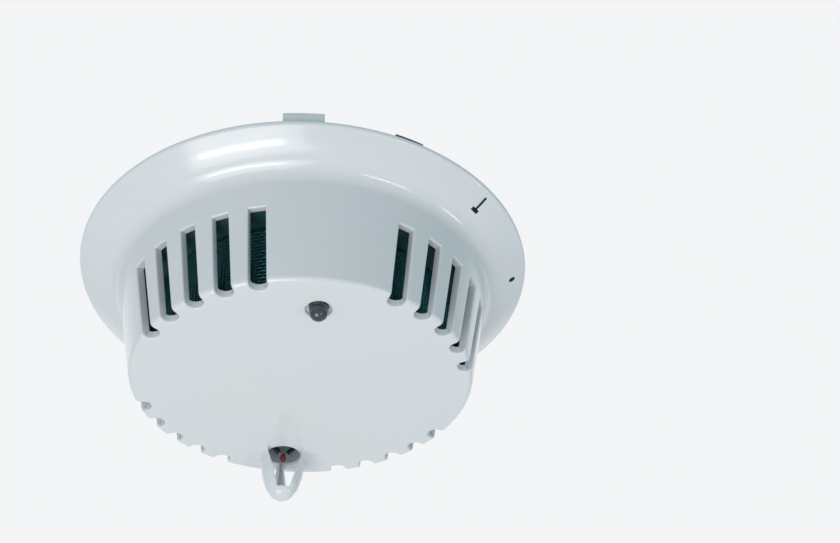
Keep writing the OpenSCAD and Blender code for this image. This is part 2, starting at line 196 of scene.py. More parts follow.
def shell_from_grids(outer, inner, removed, soften):
    """A closed shell between two grids of points, rows by columns, both wrapped round in columns.

    Cells for which removed(row, column) is true are left open right through the shell, and the
    outer edges of the openings are rounded by soften.
    """
    bm = bmesh.new()
    columns = len(outer[0])
    out_v = [[bm.verts.new(p) for p in row] for row in outer]
    in_v = [[bm.verts.new(p) for p in row] for row in inner]

    def cell(grid, i, j):
        k = (j + 1) % columns
        return [grid[i][j], grid[i][k], grid[i + 1][k], grid[i + 1][j]]

    gone = {(i, j) for i in range(len(inner) - 1) for j in range(columns) if removed(i, j)}
    for i in range(len(outer) - 1):
        for j in range(columns):
            if (i, j) not in gone:
                bm.faces.new(cell(out_v, i, j))
                if i < len(inner) - 1:
                    bm.faces.new(cell(in_v, i, j)[::-1])
    rims = []
    for i, j in gone:
        k = (j + 1) % columns
        sides = {
            (i - 1, j): ((i, j), (i, k)),
            (i + 1, j): ((i + 1, k), (i + 1, j)),
            (i, (j - 1) % columns): ((i + 1, j), (i, j)),
            (i, k): ((i, k), (i + 1, k)),
        }
        for neighbour, (a, b) in sides.items():
            if neighbour not in gone:
                bm.faces.new([out_v[a[0]][a[1]], out_v[b[0]][b[1]], in_v[b[0]][b[1]], in_v[a[0]][a[1]]])
                rims.append((out_v[a[0]][a[1]], out_v[b[0]][b[1]]))
    for j in range(columns):
        k = (j + 1) % columns
        bm.faces.new([out_v[-1][j], out_v[-1][k], in_v[-1][k], in_v[-1][j]])
    bm.faces.new(out_v[0])
    bm.faces.new(in_v[0][::-1])
    loose = [v for v in bm.verts if not v.link_faces]
    bmesh.ops.delete(bm, geom=loose, context="VERTS")
    edges = [bm.edges.get(pair) for pair in rims]
    bmesh.ops.bevel(
        bm, geom=edges, offset=soften, offset_type="OFFSET", segments=3, profile=0.5,
        affect="EDGES", clamp_overlap=True)
    return bm


def boolean(target, cutter, operation="DIFFERENCE", own_crossings=False):
    """Applies one exact boolean to target and removes the cutter."""
    modifier = target.modifiers.new("cut", "BOOLEAN")
    modifier.object = cutter
    modifier.operation = operation
    modifier.solver = "EXACT"
    modifier.use_self = own_crossings
    bake(target)
    bpy.data.objects.remove(cutter)


def bake(obj):
    """Replaces an object's mesh by what its modifiers make of it."""
    depsgraph = bpy.context.evaluated_depsgraph_get()
    depsgraph.update()
    mesh = bpy.data.meshes.new_from_object(obj.evaluated_get(depsgraph))
    obj.modifiers.clear()
    old = obj.data
    obj.data = mesh
    bpy.data.meshes.remove(old)


def box_mesh(bm, size, matrix):
    """Adds a box of that size, centred on the matrix's origin."""
    made = bmesh.ops.create_cube(bm, size=1.0)
    bmesh.ops.scale(bm, vec=size, verts=made["verts"])
    bmesh.ops.transform(bm, matrix=matrix, verts=made["verts"])


# ---------------------------------------------------------------------------
# Outer cover
# ---------------------------------------------------------------------------

SLOT_TURNS = [math.radians(a) for a in (-90, -60, -30, 0, 30, 60, 90)]
GAP_STEPS = 4
SLOT_COLUMNS = len(SLOT_TURNS) + GAP_STEPS - 1

# Rows of the cover's grid, as lengths along its outline, and on the flange as radii
FIRST_ROW = 1.2
NEXT_AFTER_MOUTH = 0.25
SLOT_BANDS = 8
SLOT_BANDS_ON_WALL = range(4, 8)
BAND_ABOVE_SLOT = 0.8
FLANGE_ROWS = (55.5, 61.8)
FLANGE_BANDS = 4
LEAST_BAND = 0.12
LAND_GAP = 0.03


def columns_at(radius):
    """Bearings of the grid's columns at that radius: across each slot, then across the gap after it."""
    edge = math.asin(SLOT_W / 2 / radius)
    pitch = 2 * math.pi / SLOT_GRID
    bearings = []
    for k in range(SLOT_GRID):
        centre = -math.pi / 2 + k * pitch
        bearings += [centre + math.asin(SLOT_W / 2 * math.sin(t) / radius) for t in SLOT_TURNS]
        gap = pitch - 2 * edge
        bearings += [centre + edge + gap * i / GAP_STEPS for i in range(1, GAP_STEPS)]
    return bearings


def cover_rows(path, end_length, top_length):
    """Lengths along the outline that get a row of points.

    None stands for the row round the slots' lower ends, whose length differs from column to column.
    """
    lengths = [s for s in path.lengths if s > end_length + NEXT_AFTER_MOUTH]
    lengths += [end_length + (top_length - end_length) * i / SLOT_BANDS for i in SLOT_BANDS_ON_WALL]
    lengths += [top_length, top_length + BAND_ABOVE_SLOT]
    start, end = (path.length_where(0, r) for r in FLANGE_ROWS)
    lengths += [start + (end - start) * i / FLANGE_BANDS for i in range(FLANGE_BANDS + 1)]
    rows = [0.0, FIRST_ROW, None]
    for s in sorted(lengths):
        near = rows[-1] is not None and s - rows[-1] <= LEAST_BAND
        if near and s == top_length:
            rows.pop()
        if not near or s == top_length:
            rows.append(s)
    return rows


def cover_grids():
    """Outer and inner points of the cover, with the row numbers between which the slots run."""
    path = Path(cover_outline())
    mouth = SLOT_END_R + SLOT_W / 2
    top_length = path.length_where(1, SLOT_TOP_Z)
    land_z = path.points[-1].y
    rows = cover_rows(path, path.length_where(0, mouth), top_length)
    outer, inner = [], []
    for s in rows:
        out_row, in_row = [], []
        for j in range(SLOT_GRID * SLOT_COLUMNS):
            here = s
            if s is None:
                part = j % SLOT_COLUMNS
                turn = SLOT_TURNS[part] if part < len(SLOT_TURNS) else math.pi / 2
                here = path.length_where(0, mouth - SLOT_W / 2 * math.cos(turn))
            (r, z), normal = path.at(here)
            out_row.append(on_circle(r, z, j))
            in_row.append(on_circle(r + normal.x * SHELL, z + normal.y * SHELL, j))
        outer.append(out_row)
        if in_row[0][2] < land_z - LAND_GAP and len(inner) == len(outer) - 1:
            inner.append(in_row)
    return outer, inner, rows.index(None), rows.index(top_length)


def on_circle(radius, z, column):
    """The point of that column at that radius and height."""
    bearing = columns_at(radius)[column]
    return (radius * math.cos(bearing), radius * math.sin(bearing), z)


def is_slot(column):
    """Slots stand in fives, with three positions left out after each five."""
    position, part = divmod(column, SLOT_COLUMNS)
    return position % SLOTS_PER_CYCLE in CUT_IN_CYCLE and part < len(SLOT_TURNS) - 1


def make_cover():
    """The cover's shell with its slots, before the guard and the marks are joined and cut."""
    outer, inner, first_row, last_row = cover_grids()
    bm = shell_from_grids(
        outer, inner, lambda i, j: first_row <= i < last_row and is_slot(j), SLOT_SOFT)
    return new_object("cover_shell", bm)


# ---------------------------------------------------------------------------
# Thermistor guard
# ---------------------------------------------------------------------------

GUARD_BORE = 5.0
GUARD_FLARE_R = 8.6
FLARE_SINK = 0.1
FLARE_TOP = 0.7
TUBE_START = 0.72
TUBE_WALL = 1.2
TUBE_TOP = SHELL + 4.5
WINDOW_LOW = -0.84 * GUARD_H
NEAR_WINDOW = (5.2, 1.75)
FAR_WINDOW = (3.3, 1.1)
FAR_WINDOW_AT = 50.0
NEAR_CELLS, LEG_CELLS, FAR_CELLS, RIB_CELLS = 12, 9, 8, 5
RIB_EDGE_MAX = 86.0
WINDOW_CELLS = (0, 2, 4)
WINDOW_SOFT = 0.35
TIP_ROWS, WINDOW_ROWS = 8, 26
TIP_START = 0.6


def half_angle(window, z, radius):
    """Half the angle that a window takes up at that height and distance from the guard's axis."""
    share = min(1.0, max(0.0, z / WINDOW_LOW))
    half = window[0] + (window[1] - window[0]) * share
    return math.degrees(math.asin(min(1.0, half / radius)))


def guard_bearings(z, radius):
    """Bearings of the guard's columns: near window, leg, far window, rib, far window, leg."""
    near = half_angle(NEAR_WINDOW, z, radius)
    far = half_angle(FAR_WINDOW, z, radius)
    far_in = FAR_WINDOW_AT - far
    far_out = min(FAR_WINDOW_AT + far, RIB_EDGE_MAX)
    stops = [(-90 - near, NEAR_CELLS), (-90 + near, LEG_CELLS), (far_in, FAR_CELLS),
             (far_out, RIB_CELLS), (180 - far_out, FAR_CELLS), (180 - far_in, LEG_CELLS),
             (270 - near, 0)]
    bearings = []
    for (a, cells), (b, _) in zip(stops, stops[1:]):
        bearings += [a + (b - a) * i / cells for i in range(cells)]
    return [math.radians(b) for b in bearings]


def make_guard():
    """The cage that hangs from the face, with the tube above it that leads the wires up."""
    h = GUARD_H
    outside = Path(rounded([
        (0, -h, 0), (2.4, -h, 2.4), (4.6, -0.77 * h, 4), (5.9, -0.49 * h, 8), (6.4, -0.1, 2.2),
        (GUARD_FLARE_R, FLARE_SINK, 0)], math.radians(7)))
    inside = Path(rounded([
        (0, -0.86 * h, 0), (2.7, -0.86 * h, 1.5), (4.3, -0.49 * h, 8), (GUARD_BORE, -1, 2),
        (GUARD_BORE, 1, 0)], math.radians(7)))
    low = outside.length_where(1, WINDOW_LOW)
    inner_low = inside.length_where(1, WINDOW_LOW)
    low_r, inner_low_r = outside.at(low)[0].x, inside.at(inner_low)[0].x
    rows = []
    for i in range(TIP_ROWS):
        share = i + TIP_START
        whole = TIP_ROWS + TIP_START
        rows.append((outside.at(low * share / whole)[0], inside.at(inner_low * share / whole)[0]))
    end = outside.lengths[-1]
    for i in range(WINDOW_ROWS + 1):
        point = outside.at(low + (end - low) * i / WINDOW_ROWS)[0]
        inner_z = min(point.y, FLARE_SINK)
        rows.append((point, inside.at(inside.length_where(1, inner_z))[0]))
    first, last = TIP_ROWS, TIP_ROWS + WINDOW_ROWS
    tube_r = GUARD_BORE + TUBE_WALL
    for r, z in ((GUARD_FLARE_R, FLARE_TOP), (tube_r, TUBE_START), (tube_r, TUBE_TOP)):
        rows.append((Vector((r, z)), Vector((GUARD_BORE, z))))
    outer, inner = [], []
    for out, inn in rows:
        for grid, point, least in ((outer, out, low_r), (inner, inn, inner_low_r)):
            line = []
            for bearing in guard_bearings(point.y, max(point.x, least)):
                line.append((GUARD_AT.x + point.x * math.cos(bearing),
                             GUARD_AT.y + point.x * math.sin(bearing), FACE_Z + point.y))
            grid.append(line)
    spans = (NEAR_CELLS, LEG_CELLS, FAR_CELLS, RIB_CELLS, FAR_CELLS, LEG_CELLS)
    window_of = [k for k, cells in enumerate(spans) for _ in range(cells)]
    bm = shell_from_grids(
        outer, inner, lambda i, j: first <= i < last and window_of[j] in WINDOW_CELLS, WINDOW_SOFT)
    return new_object("guard", bm)


# ---------------------------------------------------------------------------
# Cutters and bosses
# ---------------------------------------------------------------------------

LIGHT_HOLE_R = 2.6
LIGHT_RECESS_R = 3.3
LIGHT_RECESS_SOFT = 0.4
LIGHT_RECESS_DEPTH, LIGHT_SEAT_DEPTH = 0.7, 0.9
LIGHT_RECESS_STEPS = (22, 45, 68, 90)
LOCK_MARK_AT = math.radians(-48.1)
MARK_BAR_R, MARK_BAR_HALF = (57.55, 58.55), 1.3
MARK_STEM_END, MARK_STEM_HALF = 61.9, 0.4
MARK_CUT_Z = (-12, 0)
DOT_AT = math.radians(-15.6)
DOT_DISTANCE, DOT_R, DOT_Z = 59.4, 0.9, (-9.5, -6.6)
TOOTH_RECESS_R, TOOTH_RECESS_Z, TOOTH_RECESS_ARC = (58.4, 62.0), (-5.0, -3.0), (-101.5, 30)
SCREEN_ROOM_R, SCREEN_ROOM_Z = (41.15, 43.2), (0.05, 6)
SCREW_AT = (30, 150, 270)
SCREW_R = 42.5
BOSS_BORE_R, BOSS_R, BOSS_Z = 1.42, 3.2, (-17.5, -11.52)
BOSS_RIB, BOSS_RIB_OUT, BOSS_RIB_Z = (4.2, 3.0, 5.9), 4.4, -14.5
GUARD_HOLE_R, GUARD_HOLE_Z = GUARD_BORE + 0.6, (-2, 4)


def polar(bearing, r, z=0.0):
    """A place at that bearing and radius, turned so that its X points outwards."""
    return Matrix.Rotation(bearing, 4, "Z") @ Matrix.Translation((r, 0, z))


def arc_block(bm, r0, r1, z0, z1, start, sweep, steps=24):
    """Adds a sector of a ring, with its start and sweep in degrees."""
    rings = []
    for i in range(steps + 1):
        a = math.radians(start + sweep * i / steps)
        rings.append([bm.verts.new((r * math.cos(a), r * math.sin(a), z))
                      for r, z in ((r0, z0), (r1, z0), (r1, z1), (r0, z1))])
    for a, b in zip(rings, rings[1:]):
        for k in range(4):
            bm.faces.new((a[k], a[(k + 1) % 4], b[(k + 1) % 4], b[k]))
    bm.faces.new(rings[0])
    bm.faces.new(rings[-1][::-1])


def spin(bm, points, centre=(0.0, 0.0), steps=64):
    """Adds a closed solid of revolution to bm, from a closed outline of (r, z) points."""
    rings = []
    for r, z in points:
        if r < ON_AXIS:
            rings.append([bm.verts.new((centre[0], centre[1], z))] * steps)
        else:
            rings.append([bm.verts.new((
                centre[0] + r * math.cos(2 * math.pi * i / steps),
                centre[1] + r * math.sin(2 * math.pi * i / steps), z)) for i in range(steps)])
    for a, b in zip(rings, rings[1:] + rings[:1]):
        for i in range(steps):
            k = (i + 1) % steps
            corners = list(dict.fromkeys([a[i], a[k], b[k], b[i]]))
            if len(corners) > 2:
                bm.faces.new(corners)


def prism(bm, points, z0, z1, matrix):
    """Adds a straight-sided prism with that outline."""
    low = [bm.verts.new(matrix @ Vector((x, y, z0))) for x, y in points]
    high = [bm.verts.new(matrix @ Vector((x, y, z1))) for x, y in points]
    for i in range(len(points)):
        k = (i + 1) % len(points)
        bm.faces.new((low[i], low[k], high[k], high[i]))
    bm.faces.new(low[::-1])
    bm.faces.new(high)


def ring_outline(radii, heights):
    """The rectangle that a ring with those radii and heights has in section."""
    (r0, r1), (z0, z1) = radii, heights
    return [(r0, z0), (r1, z0), (r1, z1), (r0, z1)]


def make_cutters():
    """The light's recess and hole, both marks, the tooth's recess, and room for the screen's foot."""
    bm = bmesh.new()
    soft = LIGHT_RECESS_SOFT
    recess = [(0.0, FACE_Z - 1), (LIGHT_RECESS_R + soft, FACE_Z - 1), (LIGHT_RECESS_R + soft, FACE_Z)]
    recess += [(LIGHT_RECESS_R + soft * (1 - math.sin(t)), FACE_Z + soft * (1 - math.cos(t)))
               for t in (math.radians(a) for a in LIGHT_RECESS_STEPS)]
    recess += [(LIGHT_RECESS_R, FACE_Z + LIGHT_RECESS_DEPTH), (LIGHT_HOLE_R, FACE_Z + LIGHT_SEAT_DEPTH),
               (LIGHT_HOLE_R, FACE_Z + SHELL + 1), (0.0, FACE_Z + SHELL + 1)]
    spin(bm, recess, (LIGHT_AT.x, LIGHT_AT.y))
    (bar_in, bar_out), bar, stem = MARK_BAR_R, MARK_BAR_HALF, MARK_STEM_HALF
    tee = [(bar_in, -bar), (bar_out, -bar), (bar_out, -stem), (MARK_STEM_END, -stem),
           (MARK_STEM_END, stem), (bar_out, stem), (bar_out, bar), (bar_in, bar)]
    prism(bm, tee, *MARK_CUT_Z, Matrix.Rotation(LOCK_MARK_AT, 4, "Z"))
    dot = polar(DOT_AT, DOT_DISTANCE).to_translation()
    spin(bm, ring_outline((0.0, DOT_R), DOT_Z), (dot.x, dot.y), 32)
    arc_block(bm, *TOOTH_RECESS_R, *TOOTH_RECESS_Z, *TOOTH_RECESS_ARC)
    inner_floor = FACE_Z + SHELL
    spin(bm, ring_outline(SCREEN_ROOM_R, [inner_floor + z for z in SCREEN_ROOM_Z]), steps=100)
    return new_object("cutters", bm)


def make_bosses():
    """The bosses that the back plate's screws go into."""
    bm = bmesh.new()
    for a in SCREW_AT:
        centre = polar(math.radians(a), SCREW_R).to_translation()
        spin(bm, ring_outline((BOSS_BORE_R, BOSS_R), BOSS_Z), (centre.x, centre.y), 48)
    return new_object("bosses", bm)


def make_boss_ribs():
    """The ribs that hold the bosses to the wall."""
    bm = bmesh.new()
    for a in SCREW_AT:
        box_mesh(bm, BOSS_RIB, polar(math.radians(a), SCREW_R + BOSS_RIB_OUT, BOSS_RIB_Z))
    return new_object("ribs", bm)


def guard_hole():
    """The cutter that opens the face for the guard's bore."""
    bm = bmesh.new()
    spin(bm, ring_outline((0.0, GUARD_HOLE_R), [FACE_Z + z for z in GUARD_HOLE_Z]),
         (GUARD_AT.x, GUARD_AT.y), 72)
    return new_object("hole", bm)


cover = make_cover()
boolean(cover, guard_hole())
boolean(cover, make_guard(), "UNION", own_crossings=True)
boolean(cover, make_cutters())
boolean(cover, make_bosses(), "UNION")
boolean(cover, make_boss_ribs(), "UNION")
cover.data.polygons.foreach_set("use_smooth", [True] * len(cover.data.polygons))
cover.data.set_sharp_from_angle(angle=math.radians(35))
weighted = cover.modifiers.new("normals", "WEIGHTED_NORMAL")
weighted.keep_sharp = True
weighted.weight = 80
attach(cover, "head")
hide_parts("outer_cover")


# ---------------------------------------------------------------------------
# Insect screen
# ---------------------------------------------------------------------------

SCREEN_BOX = [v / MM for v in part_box("insect_screen")]
SCREEN_R = SCREEN_BOX[1].x - 0.3
WIRE_R = 0.11
WIRES_ROUND = 240
WIRES_UP = 18
WEAVE_INSET = 0.4
WIRE_END = Vector((0, 0, 0.35))
HEM_HALF, HEM_H = 0.28, 0.5


def tube(bm, centres, normals, radius, sides=4, closed=False):
    """Adds a thin tube through centres; normals are the tube's sideways directions there."""
    rings = []
    for i, (centre, normal) in enumerate(zip(centres, normals)):
        ahead = centres[(i + 1) % len(centres)] if closed or i + 1 < len(centres) else centre
        behind = centres[i - 1] if closed or i > 0 else centre
        across = (ahead - behind).normalized().cross(normal)
        rings.append([bm.verts.new(
            centre + radius * (math.cos(t) * normal + math.sin(t) * across))
            for t in (2 * math.pi * k / sides for k in range(sides))])
    pairs = list(zip(rings, rings[1:]))
    if closed:
        pairs.append((rings[-1], rings[0]))
    else:
        bm.faces.new(rings[0])
        bm.faces.new(rings[-1][::-1])
    for a, b in pairs:
        for k in range(sides):
            bm.faces.new((a[k], a[(k + 1) % sides], b[(k + 1) % sides], b[k]))


def make_screen():
    """Plain weave between two hems: each wire passes over one crossing wire and under the next."""
    bm = bmesh.new()
    low, high = SCREEN_BOX[0].z, SCREEN_BOX[1].z
    rows = [low + WEAVE_INSET + (high - low - 2 * WEAVE_INSET) * i / (WIRES_UP - 1)
            for i in range(WIRES_UP)]
    bearings = [2 * math.pi * i / WIRES_ROUND for i in range(WIRES_ROUND)]
    outwards = [Vector((math.cos(a), math.sin(a), 0)) for a in bearings]
    for i, out in enumerate(outwards):
        side = 1 if i % 2 else -1
        centres = []
        for j, z in enumerate(rows):
            centres.append(out * (SCREEN_R + side * (WIRE_R if j % 2 else -WIRE_R)) + Vector((0, 0, z)))
        centres = [centres[0] - WIRE_END] + centres + [centres[-1] + WIRE_END]
        tube(bm, centres, [out] * len(centres), WIRE_R)
    for j, z in enumerate(rows):
        centres = []
        for i, out in enumerate(outwards):
            side = 1 if i % 2 else -1
            centres.append(out * (SCREEN_R - side * (WIRE_R if j % 2 else -WIRE_R)) + Vector((0, 0, z)))
        tube(bm, centres, outwards, WIRE_R, closed=True)
    for z in (low, high - HEM_H):
        spin(bm, ring_outline((SCREEN_R - HEM_HALF, SCREEN_R + HEM_HALF), (z, z + HEM_H)), steps=120)
    return new_object("screen_weave", bm, 60)


screen = make_screen()
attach(screen, "head")
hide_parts("insect_screen")


# ---------------------------------------------------------------------------
# Materials
# ---------------------------------------------------------------------------

class Look:
    """A node material built up one feature at a time, in object coordinates."""

    def __init__(self, name, roughness=0.5, **fixed):
        self.material = bpy.data.materials.new(name)
        self.material.use_nodes = True
        self.tree = self.material.node_tree
        self.shader = self.tree.nodes["Principled BSDF"]
        self.shader.inputs["Roughness"].default_value = roughness
        for socket, value in fixed.items():
            self.shader.inputs[socket.replace("_", " ")].default_value = value
        self.place = self.node("ShaderNodeTexCoord").outputs["Object"]
        self.bump_end = None

    def node(self, kind, **settings):
        """A new node with those settings."""
        made = self.tree.nodes.new(kind)
        for key, value in settings.items():
            setattr(made, key, value)
        return made

    def link(self, a, b):
        self.tree.links.new(a, b)

    def noise(self, per_mm, detail=3.0, stretch=None, rough=0.5):
        """A noise field with about that many features in a millimetre."""
        made = self.node("ShaderNodeTexNoise")
        made.inputs["Scale"].default_value = per_mm / MM
        made.inputs["Detail"].default_value = detail
        made.inputs["Roughness"].default_value = rough
        place = self.place
        if stretch:
            mapping = self.node("ShaderNodeMapping")
            mapping.inputs["Scale"].default_value = stretch
            self.link(place, mapping.inputs["Vector"])
            place = mapping.outputs["Vector"]
        self.link(place, made.inputs["Vector"])
        return made.outputs["Fac"]

    def ramp(self, field, stops):
        """A field turned into colours."""
        made = self.node("ShaderNodeValToRGB")
        elements = made.color_ramp.elements
        while len(elements) < len(stops):
            elements.new(0.5)
        for element, (at, colour) in zip(elements, stops):
            element.position = at
            element.color = (*colour, 1)
        self.link(field, made.inputs["Fac"])
        return made.outputs["Color"]

    def spread(self, field, low, high, start=0.3, end=0.7):
        """A field stretched from start and end to low and high."""
        made = self.node("ShaderNodeMapRange")
        made.inputs["From Min"].default_value = start
        made.inputs["From Max"].default_value = end
        made.inputs["To Min"].default_value = low
        made.inputs["To Max"].default_value = high
        self.link(field, made.inputs["Value"])
        return made.outputs["Result"]

    def mix(self, share, a, b):
        """Two colours, fixed or linked, mixed by share."""
        made = self.node("ShaderNodeMix", data_type="RGBA")
        self.link(share, made.inputs["Factor"])
        for value, socket in ((a, made.inputs[6]), (b, made.inputs[7])):
            if isinstance(value, tuple):
                socket.default_value = (*value, 1)
            else:
                self.link(value, socket)
        return made.outputs[2]

    def colour(self, source):
        """Sets the base colour."""
        self.link(source, self.shader.inputs["Base Color"])

    def rough(self, source):
        """Sets the roughness."""
        self.link(source, self.shader.inputs["Roughness"])

    def bump(self, field, height_mm, strength=1.0):
        """Adds a relief of that height on top of the ones before."""
        made = self.node("ShaderNodeBump")
        made.inputs["Distance"].default_value = height_mm * MM
        made.inputs["Strength"].default_value = strength
        self.link(field, made.inputs["Height"])
        if self.bump_end:
            self.link(self.bump_end, made.inputs["Normal"])
        self.bump_end = made.outputs["Normal"]
        self.link(self.bump_end, self.shader.inputs["Normal"])


MARK_ROOM = 0.05
NEUTRAL = (1, 1, 1)
DRAWN = (1, 1, 14)


def tint(colour, factor):
    """The colour made darker or lighter by a factor."""
    return tuple(min(1.0, c * factor) for c in colour)


def moulded(name, colour, low, high, grain=6.0, height=0.004, vary=0.035, warm=(1.0, 0.985, 0.955),
            specks=0.04, **fixed):
    """Moulded plastic: faint flow marks, a fine grain, slight handling marks in the gloss."""
    look = Look(name, **fixed)
    flow = look.noise(0.035, 4.0)
    aged = tuple(c * w for c, w in zip(colour, warm))
    base = look.ramp(
        flow, [(0.3, tint(colour, 1 - vary)), (0.5, colour), (0.72, tint(aged, 1 + vary * 0.5))])
    dust = look.spread(look.noise(0.9, 2.0), 0.0, specks, 0.62, 0.78)
    look.colour(look.mix(dust, base, tint(colour, 0.72)))
    look.rough(look.spread(look.noise(0.12, 5.0, rough=0.65), low, high))
    look.bump(look.noise(0.05, 1.0), height * 5, 0.3)
    look.bump(look.noise(grain, 2.0), height)
    return look.material


def metal(name, colour, low, high, tarnish=0.75):
    """Metal with drawn streaks, a patchy film and small scratches in the gloss."""
    look = Look(name, Metallic=1.0)
    film = look.noise(0.25, 5.0, rough=0.6)
    look.colour(look.ramp(
        film, [(0.3, tint(colour, tarnish)), (0.55, colour), (0.75, tint(colour, 1.12))]))
    streaks = look.noise(1.4, 3.0, DRAWN)
    look.rough(look.spread(streaks, low, high))
    look.bump(streaks, 0.004)
    return look.material


def board():
    """Solder mask with copper tracks that show through it."""
    look = Look("board_mask", Coat_Weight=0.5, Coat_Roughness=0.12)
    tracks = look.node("ShaderNodeTexVoronoi", feature="DISTANCE_TO_EDGE", distance="MANHATTAN")
    tracks.inputs["Scale"].default_value = 0.22 / MM
    look.link(look.place, tracks.inputs["Vector"])
    line = look.spread(tracks.outputs["Distance"], 1.0, 0.0, 0.03, 0.06)
    base = look.ramp(look.noise(0.1), [(0.3, (0.012, 0.09, 0.045)), (0.7, (0.02, 0.13, 0.06))])
    look.colour(look.mix(line, base, (0.06, 0.24, 0.09)))
    look.rough(look.spread(look.noise(0.5), 0.28, 0.42))
    look.bump(line, 0.03)
    return look.material


def tinted(name, colour, transmission, low, high, **fixed):
    """Clear or tinted moulding with faint flow lines inside and fine scratches."""
    look = Look(name, Transmission_Weight=transmission, **fixed)
    look.colour(look.ramp(look.noise(0.5, 3.0), [(0.3, tint(colour, 0.85)), (0.7, tint(colour, 1.1))]))
    look.rough(look.spread(look.noise(1.5, 4.0), low, high))
    look.bump(look.noise(0.6, 2.0), 0.01)
    return look.material


WHITE = (0.72, 0.745, 0.76)
LOOKS = {
    "cover_white": lambda: moulded(
        "cover_plastic", WHITE, 0.16, 0.22, vary=0.012, specks=0.012, Coat_Weight=0.5, Coat_Roughness=0.07),
    "base_white": lambda: moulded(
        "base_plastic", (0.74, 0.755, 0.76), 0.42, 0.56, grain=3.0, height=0.012),
    "lever_white": lambda: moulded(
        "lever_plastic", (0.80, 0.835, 0.85), 0.36, 0.5, grain=4.0, height=0.008),
    "mesh_dark": lambda: metal("mesh_wire", (0.055, 0.24, 0.26), 0.38, 0.6, tarnish=0.7),
    "lens_clear": lambda: tinted(
        "lens_moulding", (0.16, 0.27, 0.30), 0.85, 0.03, 0.09, IOR=1.58, Coat_Weight=0.5),
    "brass_strip": lambda: metal("brass", (0.72, 0.50, 0.21), 0.22, 0.42),
    "screw_steel": lambda: metal("zinc", (0.62, 0.62, 0.60), 0.2, 0.42),
    "keeper_steel": lambda: metal("spring_steel", (0.16, 0.175, 0.18), 0.3, 0.5),
    "board_green": board,
    "chip_black": lambda: moulded(
        "chip_epoxy", (0.02, 0.02, 0.022), 0.45, 0.6, grain=5.0, vary=0.2, warm=NEUTRAL),
    "chamber_black": lambda: moulded(
        "chamber_plastic", (0.022, 0.095, 0.105), 0.5, 0.68, grain=3.0, height=0.01, vary=0.25,
        warm=NEUTRAL),
    "relay_blue": lambda: moulded(
        "relay_case", (0.03, 0.085, 0.25), 0.3, 0.42, vary=0.1, warm=NEUTRAL),
    "can_aluminium": lambda: metal("drawn_can", (0.74, 0.74, 0.75), 0.2, 0.36),
    "tin_wire": lambda: metal("tinned_wire", (0.66, 0.67, 0.66), 0.25, 0.4),
    "tin_sheet": lambda: metal("tinned_sheet", (0.58, 0.60, 0.60), 0.24, 0.42),
    "resistor_dark": lambda: moulded(
        "resistor_glaze", (0.03, 0.03, 0.035), 0.3, 0.45, vary=0.2, warm=NEUTRAL),
    "sleeve_dark": lambda: moulded(
        "sleeving", (0.014, 0.032, 0.036), 0.4, 0.6, grain=5.0, vary=0.2, warm=NEUTRAL),
    "bead_red": lambda: moulded(
        "bead_epoxy", (0.30, 0.035, 0.04), 0.18, 0.32, vary=0.15, warm=NEUTRAL,
        Coat_Weight=0.6, Coat_Roughness=0.08),
    "led_red": lambda: tinted("led_epoxy", (0.45, 0.03, 0.02), 0.6, 0.04, 0.12, IOR=1.54),
    "led_clear": lambda: tinted("clear_epoxy", (0.75, 0.80, 0.86), 0.9, 0.04, 0.12, IOR=1.54),
    "photodiode_dark": lambda: moulded(
        "diode_epoxy", (0.03, 0.012, 0.04), 0.15, 0.3, vary=0.2, warm=NEUTRAL),
    "reed_glass": lambda: tinted("capsule_glass", (0.66, 0.80, 0.74), 0.9, 0.03, 0.08, IOR=1.5),
}
materials = {}
for part in frame["record"]["subparts"]:
    slot = part["material_slot"]
    if slot not in materials:
        materials[slot] = LOOKS[slot]()
    node = frame["nodes"][part["node"]]
    node.data.materials.clear()
    node.data.materials.append(materials[slot])
for piece, slot in ((cover, "cover_white"), (screen, "mesh_dark")):
    piece.data.materials.clear()
    piece.data.materials.append(materials[slot])


def paint_shade_in_marks():
    """Paints shade into the lock mark and the dot: their walls, and the dot's floor, get a dark teal as the
    cover's second material.
    """
    # Painted shade: this dark teal stands in for the shade that falls inside the lock mark and the dot.
    cover.data.materials.append(
        moulded("mark_painted_shade", (0.035, 0.105, 0.11), 0.4, 0.55, vary=0.2, warm=NEUTRAL))
    mark = Matrix.Rotation(-LOCK_MARK_AT, 4, "Z")
    dot = polar(DOT_AT, DOT_DISTANCE).to_translation()
    for face in cover.data.polygons:
        centre = face.center / MM
        here = mark @ centre
        upright = abs(face.normal.z) < 0.2
        in_tee = (MARK_BAR_R[0] - MARK_ROOM < here.x < MARK_STEM_END + MARK_ROOM
                  and abs(here.y) < MARK_BAR_HALF + MARK_ROOM)
        in_dot = (centre.xy - dot.xy).length < DOT_R + MARK_ROOM
        at_bottom = centre.z > DOT_Z[1] - 2 * MARK_ROOM
        # Faces inside the cuts get the painted shade.
        if (in_tee and upright) or (in_dot and (upright or at_bottom)):
            face.material_index = 1


paint_shade_in_marks()


EDGE_WIDTHS = {
    "base_plate": 0.25, "release_lever": 0.2, "back_plate": 0.2, "lever_keeper": 0.1, "relay": 0.25,
    "clamp_plates": 0.12, "back_plate_screws": 0.12, "terminal_screws": 0.12, "capacitors": 0.25,
    "ic_chips": 0.06, "chassis": 0.15}


def soften_edges():
    """Rounds the edges of the moulded and pressed CAD pieces with modifiers."""
    for name, width in EDGE_WIDTHS.items():
        node = frame["nodes"][name]
        weld = node.modifiers.new("weld", "WELD")
        weld.merge_threshold = 0.004 * MM
        bevel = node.modifiers.new("bevel", "BEVEL")
        bevel.width = width * MM
        bevel.segments = 2
        bevel.limit_method = "ANGLE"
        bevel.angle_limit = math.radians(50)
        bevel.harden_normals = True


soften_edges()


# ---------------------------------------------------------------------------
# Studio
# ---------------------------------------------------------------------------

